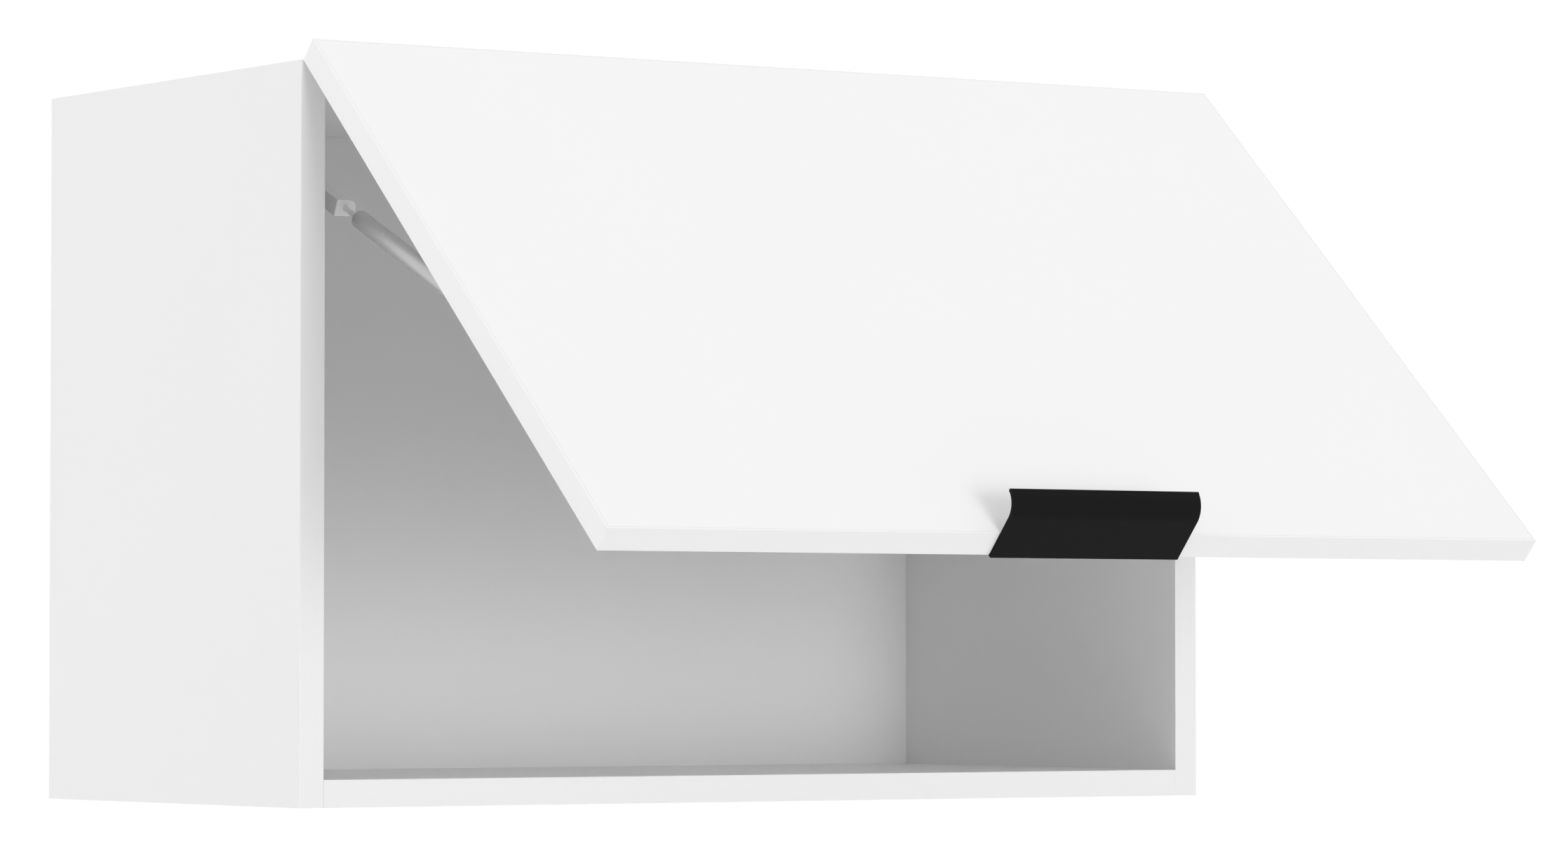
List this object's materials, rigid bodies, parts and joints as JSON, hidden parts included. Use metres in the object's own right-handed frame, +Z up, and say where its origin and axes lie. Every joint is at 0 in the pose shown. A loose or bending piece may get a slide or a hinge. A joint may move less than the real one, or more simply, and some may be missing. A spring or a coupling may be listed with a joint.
{
  "type": "lift up wall cabinet",
  "caption": "White wall cabinet whose front swings up on butt hinges at its top edge, held by gas struts; edge pull handle, hangs on wall plates.",
  "frame": {"origin": "on the wall plane, under the middle of the carcass, at the lower rear edge of the bottom panel", "axes": "+Z up, -Y towards the front, +X to the right seen from the front"},
  "size_m": [0.6, 0.6083, 0.4105],
  "materials": {
    "board_white": "white melamine faced chipboard, satin",
    "edge_white": "white plastic edge band, satin",
    "back_white": "white lacquered fibreboard",
    "handle_black": "black anodised, satin",
    "screw_black": "black zinc",
    "fitting_white": "white moulded plastic",
    "plastic_white": "white moulded plastic",
    "strut_grey": "light grey lacquer",
    "guide_black": "black plastic",
    "rod_steel": "hard chromed steel",
    "bracket_steel": "nickel plated steel",
    "screw_steel": "zinc plated steel",
    "zinc_plate": "zinc plated steel",
    "beech": "raw beech",
    "bumper_clear": "soft clear plastic"
  },
  "bodies": {
    "carcass": {"left_side_panel": "board_white", "right_side_panel": "board_white", "top_panel": "board_white", "bottom_panel": "board_white", "back_panel": "back_white", "side_edge_bands": "edge_white", "top_bottom_edge_bands": "edge_white", "dowels": "beech", "cam_locks": "zinc_plate", "cam_bolts": "zinc_plate", "cam_caps": "plastic_white", "hanger_case_left": "plastic_white", "hanger_case_right": "plastic_white", "hanger_hook_left": "zinc_plate", "hanger_hook_right": "zinc_plate", "hanger_screws": "screw_steel", "wall_plate_left": "zinc_plate", "wall_plate_right": "zinc_plate", "hinge_leaf_top_left": "bracket_steel", "hinge_leaf_top_right": "bracket_steel", "hinge_pins": "bracket_steel", "hinge_screws_top": "screw_steel", "strut_bracket_top_left": "bracket_steel", "strut_bracket_top_right": "bracket_steel", "strut_screws_top": "screw_steel"},
    "door": {"door_panel": "board_white", "door_side_edge_bands": "edge_white", "door_top_bottom_edge_bands": "edge_white", "door_bumpers": "bumper_clear", "hinge_leaf_door_left": "bracket_steel", "hinge_leaf_door_right": "bracket_steel", "hinge_screws_door": "screw_steel", "strut_bracket_door_left": "bracket_steel", "strut_bracket_door_right": "bracket_steel", "strut_screws_door": "screw_steel", "handle": "handle_black", "handle_screws": "screw_black"},
    "strut_rod_left": {"strut_rod_left": "rod_steel", "strut_rod_fitting_left": "fitting_white"},
    "strut_cylinder_left": {"strut_cylinder_left": "strut_grey", "strut_guide_left": "guide_black", "strut_top_fitting_left": "fitting_white", "strut_top_stud_left": "rod_steel"},
    "strut_rod_right": {"strut_rod_right": "rod_steel", "strut_rod_fitting_right": "fitting_white"},
    "strut_cylinder_right": {"strut_cylinder_right": "strut_grey", "strut_guide_right": "guide_black", "strut_top_fitting_right": "fitting_white", "strut_top_stud_right": "rod_steel"}
  },
  "joints": [
    {"name": "door_lift", "type": "hinge", "parent": "carcass", "child": "door", "pos_m": [0, -0.2905, 0.399], "axis": [-1, 0, 0], "range_deg": [-48, 20]},
    {"name": "strut_swing_left", "type": "hinge", "parent": "door", "child": "strut_rod_left", "pos_m": [-0.262, -0.4538, 0.24187], "axis": [-1, 0, 0], "range_deg": [-2, 1]},
    {"name": "strut_slide_left", "type": "slide", "parent": "strut_rod_left", "child": "strut_cylinder_left", "axis": [0, 0.9137, 0.4065], "range_m": [-0.0626, 0.0262]},
    {"name": "strut_swing_right", "type": "hinge", "parent": "door", "child": "strut_rod_right", "pos_m": [0.262, -0.4538, 0.24187], "axis": [-1, 0, 0], "range_deg": [-2, 1]},
    {"name": "strut_slide_right", "type": "slide", "parent": "strut_rod_right", "child": "strut_cylinder_right", "axis": [0, 0.9137, 0.4065], "range_m": [-0.0626, 0.0262]}
  ],
  "couplings": [
    {"joint": "strut_swing_left", "follows": "door_lift", "ratio": 0.04},
    {"joint": "strut_slide_left", "follows": "door_lift", "m_per_rad": 0.074484},
    {"joint": "strut_swing_right", "follows": "door_lift", "ratio": 0.04},
    {"joint": "strut_slide_right", "follows": "door_lift", "m_per_rad": 0.074484}
  ]
}
